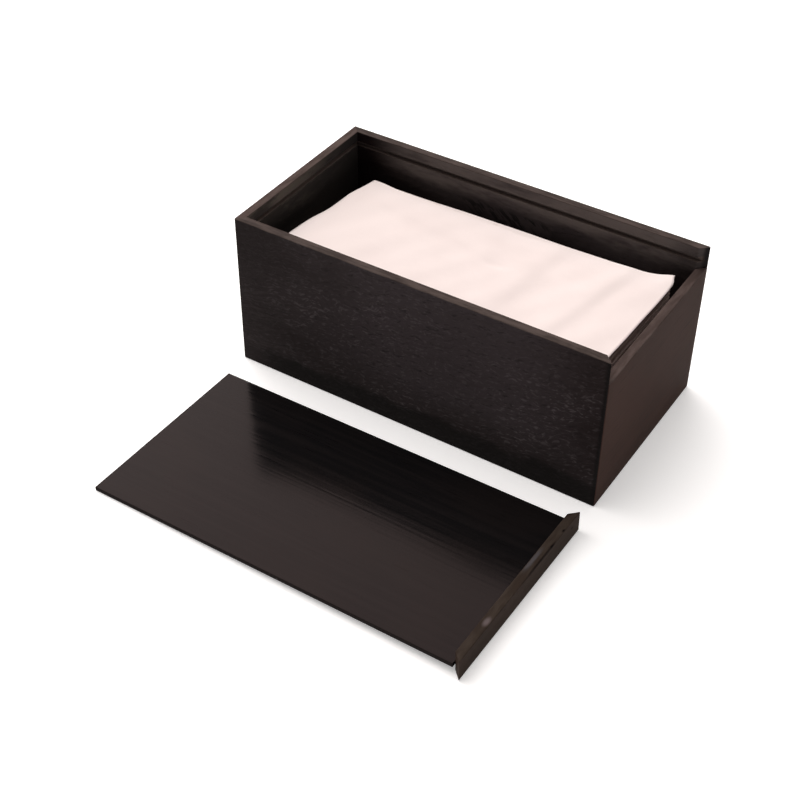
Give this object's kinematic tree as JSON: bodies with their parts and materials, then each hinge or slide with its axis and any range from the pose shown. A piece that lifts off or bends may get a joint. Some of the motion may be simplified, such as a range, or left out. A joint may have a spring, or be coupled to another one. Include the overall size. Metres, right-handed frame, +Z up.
{
  "type": "wooden tissue box with slide-out refill panel",
  "caption": "Dark stained wooden tissue box, open at the top for refilling, holding a stack of tissues, with its slide-out panel and mitred end bar lying beside it.",
  "frame": {"origin": "centre of the box's underside, on the table it stands on", "axes": "+Z up, +X along the long walls towards the low end where the panel slides out, +Y from the panel lying in front towards the back wall"},
  "size_m": [0.2413, 0.2682, 0.1015],
  "materials": {
    "stained_wood_brushed": "open-grain board, stained near-black, low satin",
    "stained_wood_smooth": "fine-grain board, stained dark brown, low satin",
    "stained_wood_satin": "thin panel, stained near-black, satin lacquer",
    "tissue_paper": "soft two-ply facial tissue"
  },
  "bodies": {
    "box": {"front_wall": "stained_wood_brushed", "back_wall": "stained_wood_brushed", "left_end_wall": "stained_wood_smooth", "right_end_wall": "stained_wood_smooth", "slotted_board": "stained_wood_smooth"},
    "lid": {"sliding_panel": "stained_wood_satin", "end_bar": "stained_wood_smooth"},
    "refill": {"tissue_stack": "tissue_paper", "top_tissue": "tissue_paper"}
  },
  "joints": [
    {"name": "panel_slide", "type": "slide", "parent": "box", "child": "lid", "axis": [0.9999, -0.0113, 0], "range_m": [0, 0.233]},
    {"name": "refill_lift", "type": "slide", "parent": "box", "child": "refill", "axis": [0, 0, 1], "range_m": [0, 0.1]}
  ]
}
